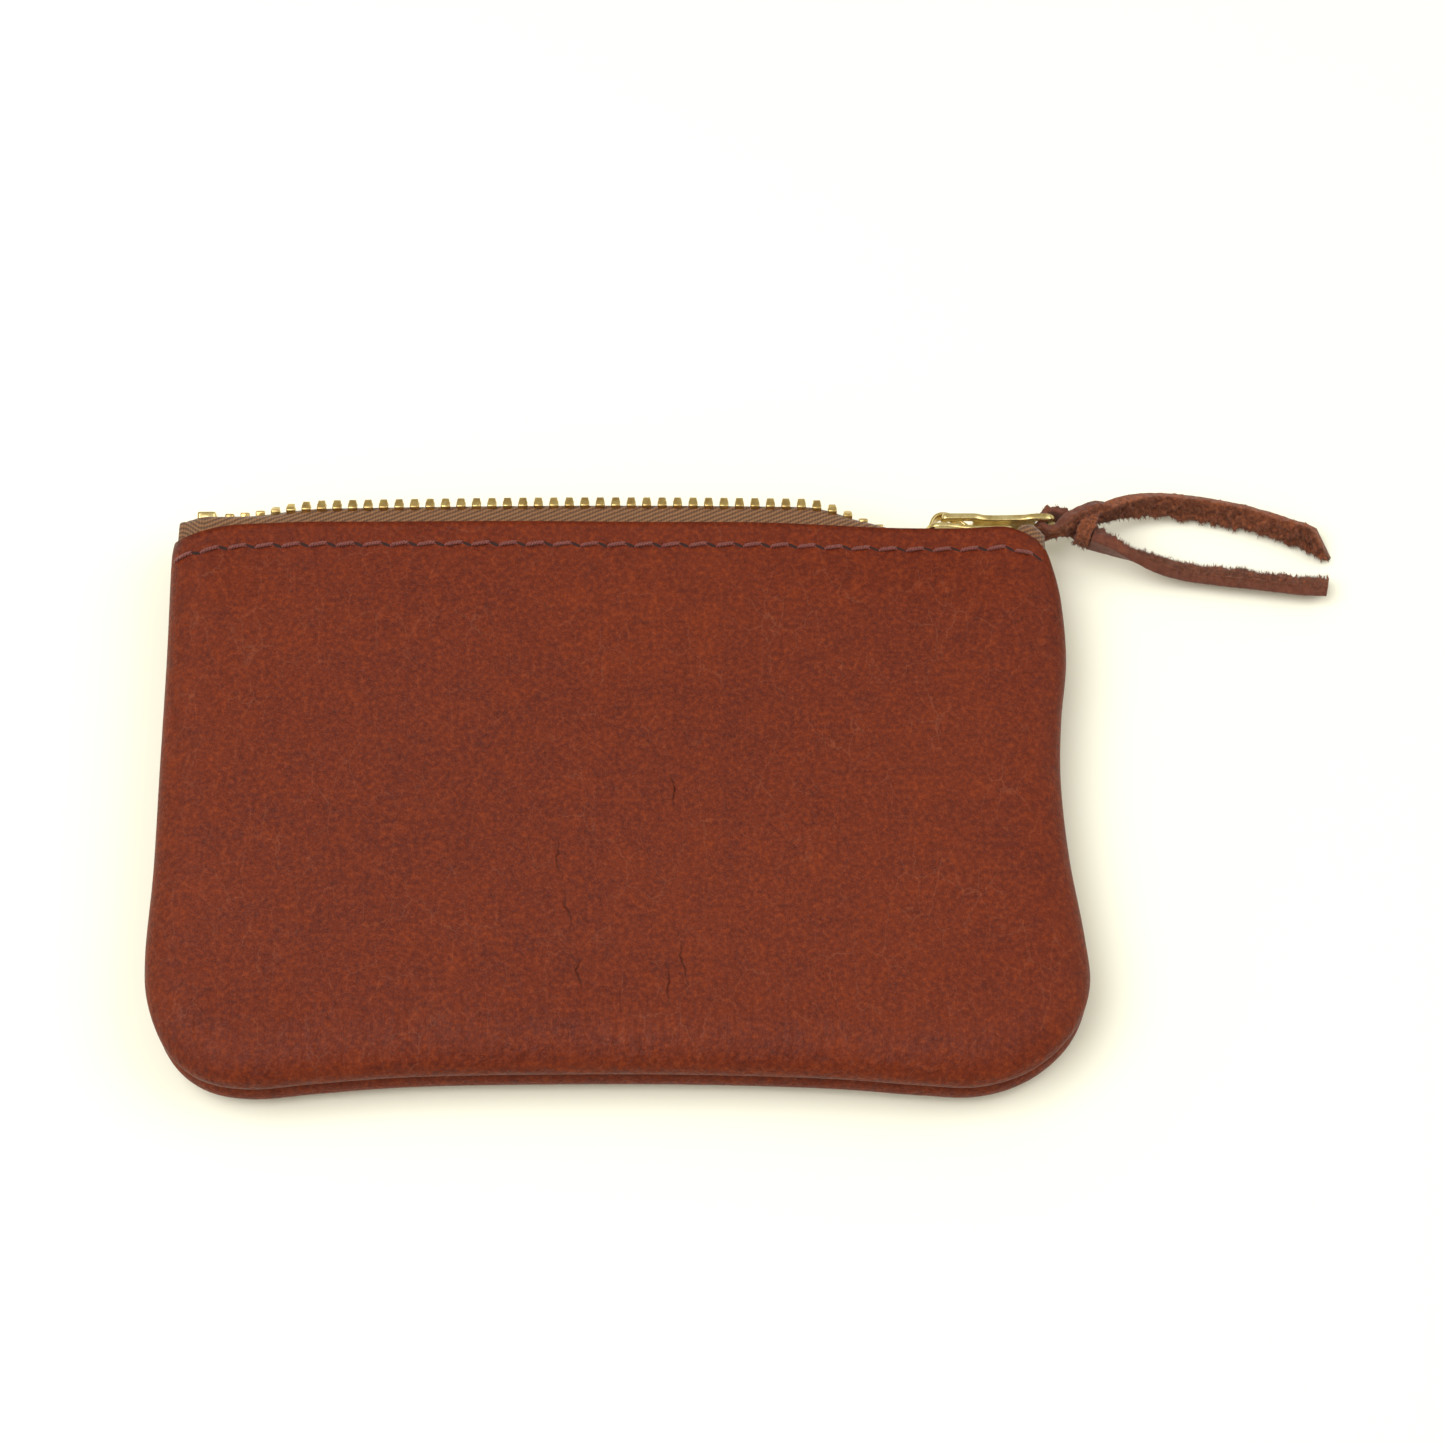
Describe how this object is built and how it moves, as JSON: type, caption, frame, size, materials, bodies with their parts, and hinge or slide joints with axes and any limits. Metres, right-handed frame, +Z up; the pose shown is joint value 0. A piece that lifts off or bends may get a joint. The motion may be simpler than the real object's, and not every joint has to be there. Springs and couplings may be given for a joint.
{
  "type": "zippered pouch",
  "caption": "Flat leather pouch with rolled edges and round bottom corners, open metal zip across the mouth, and a leather thong on the zip's pull tab.",
  "frame": {"origin": "middle of the pouch on the surface it lies on, its back panel's outer face; the box is taken without the thong", "axes": "+X across the width, towards the end where the slider rests when the zip is open; +Y towards the mouth; +Z up, out of the front panel"},
  "size_m": [0.1805, 0.0983, 0.012],
  "materials": {
    "panel_leather": "smooth full-grain leather with a soft sheen",
    "thong_leather": "suede flesh side with a smooth grain side",
    "sewing_thread": "twisted thread",
    "zip_tape": "woven twill tape",
    "zip_brass": "polished brass"
  },
  "bodies": {
    "pouch": {"front_panel": "panel_leather", "back_panel": "panel_leather", "seam_thread": "sewing_thread", "front_topstitch": "sewing_thread", "back_topstitch": "sewing_thread", "front_tape": "zip_tape", "back_tape": "zip_tape", "front_teeth": "zip_brass", "back_teeth": "zip_brass", "front_top_stop": "zip_brass", "back_top_stop": "zip_brass", "bottom_stop": "zip_brass"},
    "slider": {"slider_body": "zip_brass", "slider_bail": "zip_brass"},
    "tab": {"pull_tab": "zip_brass"},
    "thong": {"thong_knot": "thong_leather", "thong_upper_tail": "thong_leather", "thong_lower_tail": "thong_leather"}
  },
  "joints": [
    {"name": "zip_slide", "type": "slide", "parent": "pouch", "child": "slider", "axis": [-1, 0, 0], "range_m": [0, 0.1085], "deforming": ["front_tape", "back_tape", "front_teeth", "back_teeth", "thong_knot", "thong_upper_tail", "thong_lower_tail"]},
    {"name": "tab_flip", "type": "hinge", "parent": "slider", "child": "tab", "pos_m": [0.05061, 0.0453, 0.006], "axis": [0, 0, 1], "range_deg": [0, 155]},
    {"name": "thong_swing", "type": "hinge", "parent": "tab", "child": "thong", "pos_m": [0.06701, 0.0453, 0.006], "axis": [0, 0, 1], "range_deg": [-10, 80]}
  ]
}
